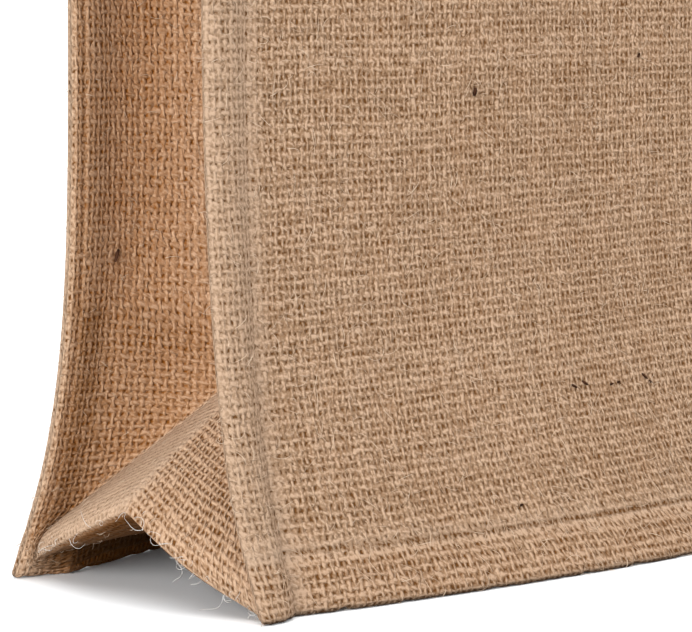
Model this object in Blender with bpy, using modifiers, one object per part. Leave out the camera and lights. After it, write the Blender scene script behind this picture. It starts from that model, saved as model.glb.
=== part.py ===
"""Jute tote bag, standing open and empty.

Two panels, one gusset strip that is both sides and the bottom, and two handles.
Metres, +Z up. The origin is on the floor under the middle of the bag, X runs
across the front, and -Y is the front.

Cloth positions are worked out in corner coordinates: "inset" is the distance
inwards from the side fin's outer edge, "half" is the distance from the bag's
middle plane (y = 0), and z is the height.
"""
import math

import bmesh
import bpy

COLLECTION = "jute_tote_bag"

# Cut sizes and cloth.
BAG_WIDTH = 0.320
BAG_HEIGHT = 0.320
WEB_HALF = 0.049
SIDE_FIN = 0.012
CLOTH = 0.0015
HEM_CLOTH = 0.0027
HEM_DEPTH = 0.026
HEM_STEP = 0.0030
PINCHED_CLOTH = 0.0010
SEAM_GAP = 0.0005

# How the panels stand: half depths at the side seams and in the middle.
SEAM_WAIST = 0.0212
SEAM_FLARE = 0.0205
SEAM_MOUTH = 0.0025
MID_WAIST = 0.0260
MID_FLARE = 0.0330
MID_MOUTH = 0.0100
FLARE_RISE = 0.035

# The side fin's edge bends in, and its foot kicks out at the tip.
FIN_BEND = 0.0014
FIN_BEND_POWER = 1.5
TIP_KICK = 0.0030
TIP_REACH = 0.007

# The foot fin: height of its seam, and its splay as a tangent.
FOOT_SEAM_SIDE = 0.0130
FOOT_SEAM_MID = 0.0110
FOOT_SPLAY_SIDE = 0.23
FOOT_SPLAY_MID = 0.74

# Slow waves that make the panels as uneven as cloth.
PANEL_WAVES = (
    # depth, waves across, waves up, shift
    (0.0011, 1.3, 0.9, 0.4),
    (0.0007, 2.6, 1.7, 1.9),
)
FACES = {
    # face: side of the middle plane, shift of its waves
    "front": (-1.0, 0.0),
    "back": (1.0, 2.1),
}

# Columns and rows of a panel, closer where it bends.
PANEL_INSETS = (0.0, 0.004, 0.008, 0.012, 0.016, 0.022, 0.030, 0.041, 0.054, 0.070,
                0.090, 0.113, 0.136, 0.160)
PANEL_RISES = (0.004, 0.009, 0.015, 0.022, 0.030, 0.039, 0.050, 0.064, 0.082, 0.104,
               0.130, 0.160, 0.192, 0.225, 0.256)
FOOT_STEPS = 3
LEAN_STEP = 0.0005

# The strip's edge inside the fins, and the pinched tip of each corner.
FIN_EDGE = 0.0004
FOOT_CLEAR = 0.0007
TIP_INSET = 0.0042
TIP_HEIGHT = 0.0042
TIP_EASE = 0.0008
TIP_EASE_REACH = 0.016
SEAM_TURN = 0.017
FOOT_TURN = 0.026

# The corner fold takes this much off the side seam's height, within that reach.
SEAM_SHORT = 0.009
SEAM_SHORT_REACH = 0.030

# The gusset's folded corner: its nose, its pleat and the flap between them.
NOSE_OUT = 0.0050
NOSE_HEIGHT = 0.0225
NOSE_STEP = 0.0065
NOSE_GAP = 0.0009
NOSE_GAP_REACH = 0.003
PLEAT_INSET = 0.0560
PLEAT_HEIGHT = 0.0590
PLEAT_RISE = 0.0710
PLEAT_BOW = 0.0030
PLEAT_LIFT = 0.0018
FLAP_BULGE = 0.0028
PUFF_INWARD = 0.0015
PUFF_ACROSS = 0.0030
CORNERS = {
    # corner: nose higher, pleat further in
    "left": (0.0000, 0.0000),
    "right": (0.0018, -0.0015),
}

# The web above the corner, and the web under the bag.
WEB_SLACK = 0.985
SIDE_REACH = 0.060
SIDE_BOW = 0.0038
CREASE_DROP = 0.0040
FLOOR_HEIGHT = 0.0095
FLOOR_FALL = 0.045
NOSE_FALL = 0.040
BULGE_FALL = 0.012
FLOOR_SAG = 0.0025
SAG_REACH = 0.015

# Columns and rows of the strip.
WEB_COLUMNS = 6
SIDE_STEPS = 9
FLOOR_ROWS = (NOSE_STEP, 0.013, 0.022, 0.035, 0.052, 0.073, 0.098, 0.127)

# Handles: flat where they are sewn on, round in the arch.
HANDLE_SPREAD = 0.058
HANDLE_FOOT = 0.272
HANDLE_TOP = 0.428
HANDLE_WIDTH = 0.0125
HANDLE_FLAT = 0.0024
HANDLE_RADIUS = 0.0062
HANDLE_STRAIGHT = 0.004
ROUND_START = -0.012
ROUND_RUN = 0.040
LEAN_START = 0.006
HANDLE_LEAN = 0.020
HANDLE_RINGS = 48
HANDLE_SIDES = 12

JUTE = {
    # node: base colour, roughness
    "front_panel": ((0.46, 0.31, 0.18), 0.95),
    "back_panel": ((0.45, 0.30, 0.175), 0.95),
    "gusset_strip": ((0.42, 0.255, 0.13), 0.95),
    "handle_front": ((0.47, 0.32, 0.19), 0.95),
    "handle_back": ((0.47, 0.32, 0.19), 0.95),
}
SHARP_ANGLE = math.radians(40)


def clamp(value):
    return max(0.0, min(1.0, value))


def mix(a, b, share):
    return a + (b - a) * share


def mix_points(a, b, share):
    return tuple(mix(p, q, share) for p, q in zip(a, b))


def ease(share):
    """Smooth step from 0 to 1."""
    share = clamp(share)
    return share * share * (3.0 - 2.0 * share)


# ---------------------------------------------------------------- panels

def middle_share(inset):
    """0 at the side seam, 1 in the middle of the bag."""
    span = BAG_WIDTH / 2 - SIDE_FIN
    return math.sin(math.pi / 2 * clamp((inset - SIDE_FIN) / span))


def foot_seam(inset):
    return mix(FOOT_SEAM_SIDE, FOOT_SEAM_MID, middle_share(inset))


def body_half(inset, z):
    """Half depth of the bag at the panel's inner face, above the foot seam."""
    flare = math.exp(-z / FLARE_RISE)
    rise = z / BAG_HEIGHT
    seam = SEAM_WAIST + SEAM_FLARE * flare + SEAM_MOUTH * rise ** 2
    middle = MID_WAIST + MID_FLARE * flare + MID_MOUTH * rise ** 2
    return mix(seam, middle, middle_share(inset))


def panel_half(inset, z, shift):
    """Half depth of the bag at the panel's inner face, fins and waves included."""
    share = middle_share(inset)
    seam_z = foot_seam(inset)
    half = body_half(inset, max(z, seam_z))
    if z < seam_z:
        half += (seam_z - z) * mix(FOOT_SPLAY_SIDE, FOOT_SPLAY_MID, share)
    if inset < SIDE_FIN:
        half -= FIN_BEND * (1.0 - inset / SIDE_FIN) ** FIN_BEND_POWER
    half += TIP_KICK * math.exp(-(inset + z) / TIP_REACH)
    window = share * (1.0 - math.exp(-z / FLARE_RISE))
    for depth, across, up, start in PANEL_WAVES:
        wave = math.sin(across * math.tau * inset / BAG_WIDTH + start + shift)
        half += depth * window * wave * math.sin(up * math.pi * z / BAG_HEIGHT + start)
    return half


def lean(inset, z, shift):
    """Length along y for each metre through the cloth, where the panel leans."""
    low = max(z - LEAN_STEP, 0.0)
    high = z + LEAN_STEP
    slope = (panel_half(inset, high, shift) - panel_half(inset, low, shift)) / (high - low)
    return math.hypot(1.0, slope)


def hem_share(z):
    """1 in the doubled hem along the mouth, 0 below it."""
    return clamp((z - (BAG_HEIGHT - HEM_DEPTH - HEM_STEP)) / HEM_STEP)


def panel_heights(inset):
    """Heights of the panel's rows at one column."""
    seam_z = foot_seam(inset)
    hem_z = BAG_HEIGHT - HEM_DEPTH
    heights = [seam_z * step / FOOT_STEPS for step in range(FOOT_STEPS + 1)]
    heights += [seam_z + rise for rise in PANEL_RISES]
    heights += [hem_z - HEM_STEP, hem_z, mix(hem_z, BAG_HEIGHT, 0.5), BAG_HEIGHT]
    return heights


def make_panel(name, face):
    """A sheet in the panel's shape, its thickness taken along y so its foot is flat."""
    facing, shift = FACES[face]
    insets = PANEL_INSETS + PANEL_INSETS[-2::-1]
    last_column = len(insets) - 1
    last_row = len(panel_heights(0.0)) - 1
    bm = bmesh.new()
    bmesh.ops.create_grid(bm, x_segments=last_column, y_segments=last_row, size=0.5)
    inner_face = set(bm.verts)
    bmesh.ops.extrude_face_region(bm, geom=bm.faces[:])
    for vert in bm.verts:
        column = round((vert.co.x + 0.5) * last_column)
        row = round((vert.co.y + 0.5) * last_row)
        inset = insets[column]
        z = panel_heights(inset)[row]
        half = panel_half(inset, z, shift)
        if vert in inner_face:
            half -= (HEM_CLOTH - CLOTH) * hem_share(z)
        else:
            half += CLOTH * lean(inset, z, shift)
        side = math.copysign(1.0, column - last_column / 2)
        vert.co = (side * (BAG_WIDTH / 2 - inset), facing * half, z)
    return finish_mesh(name, bm)


# ---------------------------------------------------------------- gusset strip

def seam_point(inset, z, shift):
    """The strip's middle surface where it lies against the panel's inner face."""
    share = hem_share(z)
    hem = (HEM_CLOTH - CLOTH) * share
    tip = TIP_EASE * math.exp(-(inset + z) / TIP_EASE_REACH)
    away = SEAM_GAP + tip + mix(CLOTH, HEM_CLOTH, share) / 2
    half = panel_half(inset, z, shift) - hem - away * lean(inset, z, shift)
    return (inset, half, z)


def side_seam_height(s):
    """Height of the strip's seam at distance s above the corner fold."""
    return TIP_HEIGHT + s - SEAM_SHORT * (1.0 - math.exp(-s / SEAM_SHORT_REACH))


def side_rim(s, shift):
    """The seam and the outer edge of the strip, going up the side."""
    z = side_seam_height(s)
    turn = clamp((s - NOSE_STEP) / (SEAM_TURN - NOSE_STEP))
    root = seam_point(mix(TIP_INSET, SIDE_FIN, turn), z, shift)
    edge = seam_point(FIN_EDGE, mix(FOOT_CLEAR, z, clamp(s / NOSE_STEP)), shift)
    return root, edge


def foot_rim(w, shift):
    """The seam and the outer edge of the strip, going along the bottom."""
    inset = TIP_INSET + w
    z = mix(TIP_HEIGHT, foot_seam(inset), ease(w / FOOT_TURN))
    root = seam_point(inset, z, shift)
    edge = seam_point(mix(FIN_EDGE, inset, clamp(w / NOSE_STEP)), FOOT_CLEAR, shift)
    return root, edge


def nose_point(corner):
    higher = CORNERS[corner][0]
    return (-NOSE_OUT, 0.0, NOSE_HEIGHT + higher)


def pleat_point(corner):
    further_in = CORNERS[corner][1]
    return (PLEAT_INSET + further_in, 0.0, PLEAT_HEIGHT)


def web_on_side(s, q, corner, shift):
    """The web above the folded corner: a pleat that is pushed in between the panels."""
    root = side_rim(s, shift)[0]
    low = math.exp(-(s - PLEAT_RISE) / SIDE_REACH)
    depth = WEB_SLACK * math.sqrt(WEB_HALF ** 2 - root[1] ** 2)
    crease_inset = mix(SIDE_FIN + depth, pleat_point(corner)[0], low)
    crease = (crease_inset, 0.0, root[2] - CREASE_DROP * low)
    x, y, z = mix_points(crease, root, q)
    # The bow is deepest, SIDE_BOW, two thirds of the way to the seam.
    bow = SIDE_BOW * 27 / 4 * q * q * (1.0 - q)
    run = crease[0] - root[0]
    length = math.hypot(run, root[1])
    return (x + bow * root[1] / length, y + bow * run / length, z)


def web_in_corner(s, q, corner, shift):
    """The folded corner: a flap from the nose to the pleat, and the web over it."""
    pleat = pleat_point(corner)
    ridge = mix_points(nose_point(corner), pleat, s / PLEAT_RISE)
    root = side_rim(s, shift)[0]
    share = clamp((s - SEAM_TURN) / (PLEAT_RISE - SEAM_TURN))
    fold_x, fold_y, fold_z = root
    if s > SEAM_TURN:
        fold_x, fold_y, fold_z = mix_points(side_rim(SEAM_TURN, shift)[0], pleat, share)
    arch = math.sin(math.pi * share)
    crease = (fold_x, fold_y - PLEAT_BOW * arch, fold_z + PLEAT_LIFT * arch)
    crease_q = 1.0 - share
    if q <= crease_q:
        along = q / crease_q if crease_q else 0.0
        x, y, z = mix_points(ridge, crease, along)
        bulge = FLAP_BULGE * math.sin(math.pi * along) * (1.0 - s / PLEAT_RISE)
        gap = NOSE_GAP * (1.0 - math.exp(-s / NOSE_GAP_REACH)) * (1.0 - q)
        return (x - bulge, y, z + gap)
    along = (q - crease_q) / (1.0 - crease_q)
    x, y, z = mix_points(crease, root, along)
    puff = share * math.sin(math.pi * along)
    return (x + PUFF_INWARD * puff, y + PUFF_ACROSS * puff, z)


def web_on_floor(w, q, corner, shift):
    """The bottom web: a ridge near the corner that flattens towards the middle."""
    nose = nose_point(corner)
    root = foot_rim(w, shift)[0]
    back = (TIP_INSET - nose[0]) * math.exp(-w / NOSE_FALL)
    height = mix(FLOOR_HEIGHT, nose[2], math.exp(-w / FLOOR_FALL))
    x, y, z = mix_points((TIP_INSET + w - back, 0.0, height), root, q)
    arch = math.sin(math.pi * q)
    bulge = FLAP_BULGE * arch * math.exp(-w / BULGE_FALL)
    gap = NOSE_GAP * (1.0 - math.exp(-w / NOSE_GAP_REACH)) * (1.0 - q)
    sag = FLOOR_SAG * arch * (1.0 - math.exp(-w / SAG_REACH))
    return (x - bulge, y, z - gap - sag)


def strip_point(s, column, corner, shift):
    """A point of the strip in corner coordinates.

    s is the distance from the corner fold, up the side (+) or along the bottom (-).
    column is 0 on the strip's middle line, WEB_COLUMNS at the seam and one more
    at the strip's edge.
    """
    if column > WEB_COLUMNS:
        root, edge = side_rim(s, shift) if s >= 0.0 else foot_rim(-s, shift)
        return edge
    q = column / WEB_COLUMNS
    if s >= PLEAT_RISE:
        return web_on_side(s, q, corner, shift)
    if s >= 0.0:
        return web_in_corner(s, q, corner, shift)
    return web_on_floor(-s, q, corner, shift)


def strip_rows():
    """Rows from the left mouth round the bottom to the right mouth.

    Each is its corner, its distance from that corner's fold, and the web column
    where the corner's crease crosses it, or None.
    """
    top = BAG_HEIGHT - TIP_HEIGHT + SEAM_SHORT
    below_hem = top - HEM_DEPTH - HEM_STEP
    side = [(top, None), (top - HEM_DEPTH / 2, None), (top - HEM_DEPTH, None)]
    for step in range(SIDE_STEPS):
        side.append((mix(below_hem, PLEAT_RISE, step / SIDE_STEPS), None))
    for column in range(WEB_COLUMNS + 1):
        side.append((mix(PLEAT_RISE, SEAM_TURN, column / WEB_COLUMNS), column))
    side += [(NOSE_STEP, None), (0.0, None)]
    side += [(-w, None) for w in FLOOR_ROWS]
    left = [("left", s, crease) for s, crease in side]
    right = [("right", s, crease) for s, crease in reversed(side)]
    middle = ("left", -(BAG_WIDTH / 2 - TIP_INSET), None)
    return left + [middle] + right


def strip_thickness(s, column):
    """Doubled at the mouth, pinched thin at the corner tips."""
    if abs(column) >= WEB_COLUMNS - 1 and abs(s) <= NOSE_STEP:
        return PINCHED_CLOTH
    return mix(CLOTH, HEM_CLOTH, hem_share(side_seam_height(max(s, 0.0))))


def fold_rows(rows):
    return [row for row, (corner, s, crease) in enumerate(rows) if s == 0.0]


def notch_corners(bm, verts, rows):
    """Cut the strip's edge away on both sides of each corner fold, as a maker clips it."""
    gone = set()
    for row in fold_rows(rows):
        for sign in (-1, 1):
            gone.update(verts[row, sign * (WEB_COLUMNS + 1)].link_faces)
    bmesh.ops.delete(bm, geom=list(gone), context="FACES")


def split_between(a, b):
    """Split the quad that two opposite corners share, along the line between them."""
    shared = [face for face in a.link_faces if b in face.verts]
    if shared and len(shared[0].verts) == 4:
        bmesh.utils.face_split(shared[0], a, b)


def fold_creases(verts, rows):
    """Split the corner's quads along the creases that run from the pleat to the tips."""
    creases = [crease for corner, s, crease in rows]
    for row, (here, following) in enumerate(zip(creases, creases[1:])):
        if here is None or following is None:
            continue
        for sign in (-1, 1):
            split_between(verts[row, sign * here], verts[row + 1, sign * following])
    for row in fold_rows(rows):
        up = -1 if rows[row][0] == "left" else 1
        for seam in (-WEB_COLUMNS, WEB_COLUMNS):
            inner = seam - (1 if seam > 0 else -1)
            split_between(verts[row + up, seam], verts[row, inner])
            split_between(verts[row, seam], verts[row - up, inner])


def make_strip(name):
    """The whole strip as an open sheet, thickened by Solidify."""
    rows = strip_rows()
    last_row = len(rows) - 1
    reach = WEB_COLUMNS + 1
    bm = bmesh.new()
    bmesh.ops.create_grid(bm, x_segments=2 * reach, y_segments=last_row, size=0.5)
    thickness = bm.verts.layers.deform.verify()
    verts = {}
    for vert in bm.verts:
        column = round((vert.co.x + 0.5) * 2 * reach) - reach
        row = round((vert.co.y + 0.5) * last_row)
        corner, s, crease = rows[row]
        facing, shift = FACES["front" if column < 0 else "back"]
        inset, half, z = strip_point(s, abs(column), corner, shift)
        side = -1.0 if corner == "left" else 1.0
        vert.co = (side * (BAG_WIDTH / 2 - inset), facing * half, z)
        thicker = strip_thickness(s, column) - PINCHED_CLOTH
        vert[thickness][0] = thicker / (HEM_CLOTH - PINCHED_CLOTH)
        verts[row, column] = vert
    fold_creases(verts, rows)
    notch_corners(bm, verts, rows)
    strip = finish_mesh(name, bm)
    strip.vertex_groups.new(name="thickness")
    solidify = strip.modifiers.new("cloth", "SOLIDIFY")
    solidify.thickness = HEM_CLOTH
    solidify.offset = 0.0
    solidify.use_even_offset = False
    solidify.vertex_group = "thickness"
    solidify.thickness_vertex_group = PINCHED_CLOTH / HEM_CLOTH
    triangulate = strip.modifiers.new("short_diagonals", "TRIANGULATE")
    triangulate.quad_method = "SHORTEST_DIAGONAL"
    return strip


# ---------------------------------------------------------------- handles

def handle_path(share):
    """A point of the handle's middle line in x and z, and its direction."""
    straight = BAG_HEIGHT - HANDLE_FOOT + HANDLE_STRAIGHT
    rise = HANDLE_TOP - HANDLE_RADIUS - HANDLE_FOOT - straight
    arch = math.pi / 2 * (HANDLE_SPREAD + rise)
    along = share * (2 * straight + arch)
    if along < straight:
        return (-HANDLE_SPREAD, HANDLE_FOOT + along), (0.0, 1.0)
    if along > straight + arch:
        return (HANDLE_SPREAD, HANDLE_FOOT + 2 * straight + arch - along), (0.0, -1.0)
    angle = math.pi * (along - straight) / arch
    x = -HANDLE_SPREAD * math.cos(angle)
    z = HANDLE_FOOT + straight + rise * math.sin(angle)
    across = HANDLE_SPREAD * math.sin(angle)
    up = rise * math.cos(angle)
    length = math.hypot(across, up)
    return (x, z), (across / length, up / length)


def handle_ring(share, face):
    """One cross section of the handle, lying on the panel as far as the mouth."""
    facing, shift = FACES[face]
    (x, z), (along_x, along_z) = handle_path(share)
    roundness = ease((z - BAG_HEIGHT - ROUND_START) / ROUND_RUN)
    wide = mix(HANDLE_WIDTH, HANDLE_RADIUS, roundness)
    deep = mix(HANDLE_FLAT, HANDLE_RADIUS, roundness)
    bend = ease((z - BAG_HEIGHT - LEAN_START) / (HANDLE_TOP - BAG_HEIGHT))
    ring = []
    for side in range(HANDLE_SIDES):
        angle = math.tau * side / HANDLE_SIDES
        out = wide * math.cos(angle)
        point_x = x + out * along_z
        point_z = z - out * along_x
        inset = BAG_WIDTH / 2 - abs(point_x)
        on_z = min(point_z, BAG_HEIGHT)
        outer_face = panel_half(inset, on_z, shift) + CLOTH * lean(inset, on_z, shift)
        middle = outer_face + SEAM_GAP + deep - HANDLE_LEAN * bend
        ring.append((point_x, facing * (middle + deep * math.sin(angle)), point_z))
    return ring


def make_handle(name, face):
    """A loft from a flat end, through a round arch, to the other flat end."""
    bm = bmesh.new()
    rings = []
    for step in range(HANDLE_RINGS + 1):
        rings.append([bm.verts.new(point) for point in handle_ring(step / HANDLE_RINGS, face)])
    for low, high in zip(rings, rings[1:]):
        for side in range(HANDLE_SIDES):
            following = (side + 1) % HANDLE_SIDES
            bm.faces.new((low[side], low[following], high[following], high[side]))
    bm.faces.new(rings[0])
    bm.faces.new(rings[-1])
    return finish_mesh(name, bm)


# ---------------------------------------------------------------- objects

def jute_material(name):
    colour, roughness = JUTE[name]
    material = bpy.data.materials.new("jute_" + name)
    material.use_nodes = True
    shader = material.node_tree.nodes["Principled BSDF"]
    shader.inputs["Base Color"].default_value = (*colour, 1.0)
    shader.inputs["Roughness"].default_value = roughness
    shader.inputs["Metallic"].default_value = 0.0
    return material


def finish_mesh(name, bm):
    """Turn the bmesh into a named object with its own jute material."""
    bmesh.ops.recalc_face_normals(bm, faces=bm.faces[:])
    mesh = bpy.data.meshes.new(name)
    bm.to_mesh(mesh)
    bm.free()
    mesh.shade_smooth()
    mesh.set_sharp_from_angle(angle=SHARP_ANGLE)
    mesh.materials.append(jute_material(name))
    thing = bpy.data.objects.new(name, mesh)
    bpy.data.collections[COLLECTION].objects.link(thing)
    return thing


def main():
    for thing in list(bpy.data.objects):
        bpy.data.objects.remove(thing)
    collection = bpy.data.collections.new(COLLECTION)
    bpy.context.scene.collection.children.link(collection)
    make_panel("front_panel", "front")
    make_panel("back_panel", "back")
    make_strip("gusset_strip")
    make_handle("handle_front", "front")
    make_handle("handle_back", "back")


main()
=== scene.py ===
"""Looks of the jute tote bag: woven cloth pieces, seams, stitches and loose fibres."""
from math import asin, copysign, cos, dist, exp, hypot, pi, radians, sin, sqrt, tau

import bmesh
import bpy
import numpy as np
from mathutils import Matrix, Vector


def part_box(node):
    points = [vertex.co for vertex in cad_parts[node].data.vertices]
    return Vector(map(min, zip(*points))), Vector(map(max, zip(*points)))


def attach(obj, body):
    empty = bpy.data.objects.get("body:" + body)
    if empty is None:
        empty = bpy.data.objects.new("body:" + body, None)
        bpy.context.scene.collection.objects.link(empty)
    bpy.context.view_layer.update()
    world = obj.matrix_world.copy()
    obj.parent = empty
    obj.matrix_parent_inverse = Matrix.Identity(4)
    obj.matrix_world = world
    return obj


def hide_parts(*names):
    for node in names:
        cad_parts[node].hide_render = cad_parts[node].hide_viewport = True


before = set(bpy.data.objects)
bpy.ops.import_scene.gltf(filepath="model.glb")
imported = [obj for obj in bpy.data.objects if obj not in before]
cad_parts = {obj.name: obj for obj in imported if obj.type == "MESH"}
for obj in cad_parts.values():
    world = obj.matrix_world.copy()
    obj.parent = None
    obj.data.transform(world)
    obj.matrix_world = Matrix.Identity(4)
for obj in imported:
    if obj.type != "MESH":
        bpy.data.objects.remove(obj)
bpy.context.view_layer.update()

# -------------------- sizes

# From the frame.
PANEL_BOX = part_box("front_panel")
HANDLE_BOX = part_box("handle_front")
BAG_WIDTH = PANEL_BOX[1].x - PANEL_BOX[0].x
HALF_WIDTH = BAG_WIDTH / 2
BAG_HEIGHT = PANEL_BOX[1].z - PANEL_BOX[0].z
HANDLE_TOP = HANDLE_BOX[1].z
HANDLE_FOOT = HANDLE_BOX[0].z

# The cloth's cut, as the solids have it.
WEB_HALF = 0.049
SIDE_FIN = 0.012
CLOTH = 0.0015
HEM_CLOTH = 0.0027
HEM_DEPTH = 0.026
HEM_STEP = 0.0030
SEAM_GAP = 0.0005

# How the panels stand: half depths at the side seams and in the middle, and the fins.
SEAM_WAIST = 0.0212
SEAM_FLARE = 0.0205
SEAM_MOUTH = 0.0025
MID_WAIST = 0.0260
MID_FLARE = 0.0330
MID_MOUTH = 0.0100
FLARE_RISE = 0.035
FIN_TURN = 0.0030
TIP_REACH = 0.007
FOOT_SEAM_SIDE = 0.0130
FOOT_SEAM_MID = 0.0110
FOOT_SPLAY_SIDE = 0.23
FOOT_SPLAY_MID = 0.74
PANEL_WAVES = (
    # depth, waves across, waves up, shift
    (0.0011, 1.3, 0.9, 0.4),
    (0.0007, 2.6, 1.7, 1.9),
)
LEAN_STEP = 0.0005
FIN_TOP = -0.0003
TUCK_HEIGHT = 0.045
TUCK_WIDTH = 0.016
FACES = {
    # Side of the middle plane, shift of the waves, how far the fins stand out at the foot and how
    # soon that fades upwards, kick and tuck of the foot's corners, height of the flap's corner
    # and droop of the flap.
    "front": {"side": -1.0, "wave": 0.0, "fin_rise": 0.0026, "fin_reach": 0.070,
              "tip_kick": 0.0024, "tuck": 0.0030, "tip_height": 0.0006, "flap_drop": 0.0012},
    "back": {"side": 1.0, "wave": 2.1, "fin_rise": 0.0030, "fin_reach": 0.044,
             "tip_kick": 0.0030, "tuck": 0.0, "tip_height": 0.0056, "flap_drop": 0.0},
}

# The strip: its folded corners, the pleats in its sides, and how it hangs under the bag.
TIP_INSET = 0.0034
TIP_HEIGHT = 0.0042
SEAM_TURN = 0.017
FOOT_TURN = 0.026
SEAM_SHORT = 0.009
SEAM_SHORT_REACH = 0.030
NOSE_OUT = 0.0050
NOSE_HEIGHT = 0.0225
NOSE_STEP = 0.0065
NOSE_GAP = 0.0009
NOSE_GAP_REACH = 0.003
PLEAT_INSET = 0.0560
PLEAT_HEIGHT = 0.0590
PLEAT_RISE = 0.0710
PLEAT_BOW = 0.0030
PLEAT_LIFT = 0.0018
FLAP_BULGE = 0.0028
PUFF_INWARD = 0.0015
PUFF_ACROSS = 0.0030
CORNERS = {
    # corner: nose higher, pleat further in
    "left": (0.0000, 0.0000),
    "right": (0.0018, -0.0015),
}
MOUTH_GAP = 0.0006
WEB_SLACK = 0.985
SIDE_REACH = 0.060
SIDE_BOW = 0.0038
ROOT_REACH = 0.0040
CREASE_DROP = 0.0040
FLOOR_HEIGHT = 0.0095
FLOOR_FALL = 0.045
NOSE_FALL = 0.040
BULGE_FALL = 0.012
FLOOR_SAG = 0.0025
SAG_REACH = 0.015
WEB_SOFTENING = 3

# The strip's edges, which lie flat on the insides of the fins: distances past the seam.
FLANGE = (0.0030, 0.0058, 0.0082, 0.0102)
FLANGE_SINK = 0.00035
FLANGE_END_SINK = 0.0012
FLANGE_TURN = 0.012
FLANGE_ROOM = 0.8

# The handles: sewn flat at their ends and round above.
HANDLE_SPREAD = 0.058
HANDLE_WIDTH = 0.0125
HANDLE_FLAT = 0.0024
HANDLE_RADIUS = 0.0062
HANDLE_STRAIGHT = 0.004
ROUND_START = -0.012
ROUND_RUN = 0.040
LEAN_START = 0.006
HANDLE_LEAN = 0.020
HANDLE_SIDES = 32
HANDLE_STEP = 0.0016
HANDLE_CLOTH = 0.0012
HANDLE_SQUARE = 0.45
HANDLE_END = 0.0016
HANDLE_END_NARROW = 0.93
HANDLE_SEAM_INSET = 0.0035
HANDLE_STITCH = 0.0034
JOIN_DEPTH = 0.0011
JOIN_REACH = 0.22

# The weave, from yarn to yarn.
COLUMN_PITCH = 0.00172
ROW_PITCH = 0.00210

# What the looks add to the solids' shape.
FIN_ROUND = 0.0016
FIN_BACK = 0.0016
FIN_FADE = 0.0016
FIN_PUFF = 0.0013
FOOT_PUFF = 0.0005
SCALLOP = 0.0009
SCALLOP_WAVES = (430, 710, 1130)
SCALLOP_FADE = 0.003
SEAM_GROOVE = 0.00025
FOOT_GROOVE = 0.0003
GROOVE_REACH = 0.0017
STRIP_CLOTH = 0.0012

# The meshes: steps at the rim and the seams, in the panels' body and along the strip.
FINE_BAND = 0.006
SIDE_STEP = 0.0012
BODY_STEP = 0.0024
STRIP_STEP = 0.0018
RIM_POINTS = 4
SQUARE = ((0, 0), (0, 1), (1, 1), (1, 0))
RIM_CLOTH = 0.57
INNER_SHIFT = (0.0021, 0.0017)
NO_SEAM = 99.0

# Tones of the cloth, each (fuzz, warmth, openness, brightness); warmth and brightness also paint shade
# and light by place.
# Inner face: warmer and redder than the outer cloth, painted shade; low in the corner's cavity darker
# and deep red, painted shade.
INSIDE_PAINTED_SHADE_TONE = (0.10, 0.95, 0.0, 1.18)
CAVITY_PAINTED_SHADE_TONE = (0.10, 2.2, 0.0, 0.6)
INSIDE_RIM_TONE = (0.60, 0.1, 0.0, 1.1)
# The web: brighter than the panels' cloth, painted light; warmer towards its seams and darker at the
# back seam, painted shade.
WEB_PAINTED_LIGHT_TONE = (0.25, 0.5, -0.5, 1.40)
WEB_SEAM_PAINTED_SHADE_TONE = (0.25, 1.0, -0.5, 1.36)
WEB_REAR_PAINTED_SHADE_TONE = (0.25, 1.0, 0.3, 1.15)
STRIP_TIP_TONE = (0.5, 0.1, 0.0, 1.05)

# Sewing thread, loose fibres and their radii.
STITCH = 0.0047
FIRST_STITCH = 3
HEM_SEAM_DROP = 0.003
THREAD_RADIUS = 0.00032
THREAD_RISE = 0.00012
THREAD_SINK = 0.00038
THREAD_TAPER = 0.8
FIBRE_RADII = (0.00003, 0.00007)
EDGE_RADII = (0.00003, 0.00006)
FOLD_RADII = (0.00004, 0.00006)
FOOT_RADII = (0.00004, 0.00007)
PANEL_FIBRES = 6000
STRIP_FIBRES = 5000
EDGE_FIBRES = 130
FOOT_FIBRES = 150
FLOOR_CLEAR = 0.0002

# Bits of bark in the yarns.
FLECKS = (
    # place across from the panel's left edge, height, length, angle from level, half thickness
    (0.0853, 0.1163, 0.0020, 75.0, 0.00062),
    (0.1145, 0.0426, 0.0020, -25.0, 0.00036),
    (0.1187, 0.0430, 0.0022, -30.0, 0.00038),
    (0.1288, 0.0417, 0.0012, 10.0, 0.00034),
    (0.1316, 0.0419, 0.0011, 0.0, 0.00034),
    (0.1425, 0.0424, 0.0022, -40.0, 0.00038),
    (0.1444, 0.0409, 0.0013, -35.0, 0.00034),
    (0.1490, 0.1233, 0.0012, 60.0, 0.00040),
    (0.0850, 0.0172, 0.0010, 20.0, 0.00040),
    (0.2240, 0.2050, 0.0016, 80.0, 0.00045),
    (0.2710, 0.0940, 0.0020, 15.0, 0.00040),
    (0.0620, 0.2430, 0.0014, 70.0, 0.00040),
)
FLECK_LIFT = 0.0003
FLECK_TAPER = 0.6

# The strip's own bit of bark: its place across and along the strip, and the points of its slant.
STRIP_FLECK = (0.0996, 0.2422)
STRIP_FLECK_STEPS = (-0.0012, -0.0004, 0.0004, 0.0012)
STRIP_FLECK_SLANT = (0.4, 1.3)
STRIP_FLECK_LIFT = 0.0011
STRIP_FLECK_RADIUS = 0.00048

# -------------------- colours, lights, camera

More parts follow.
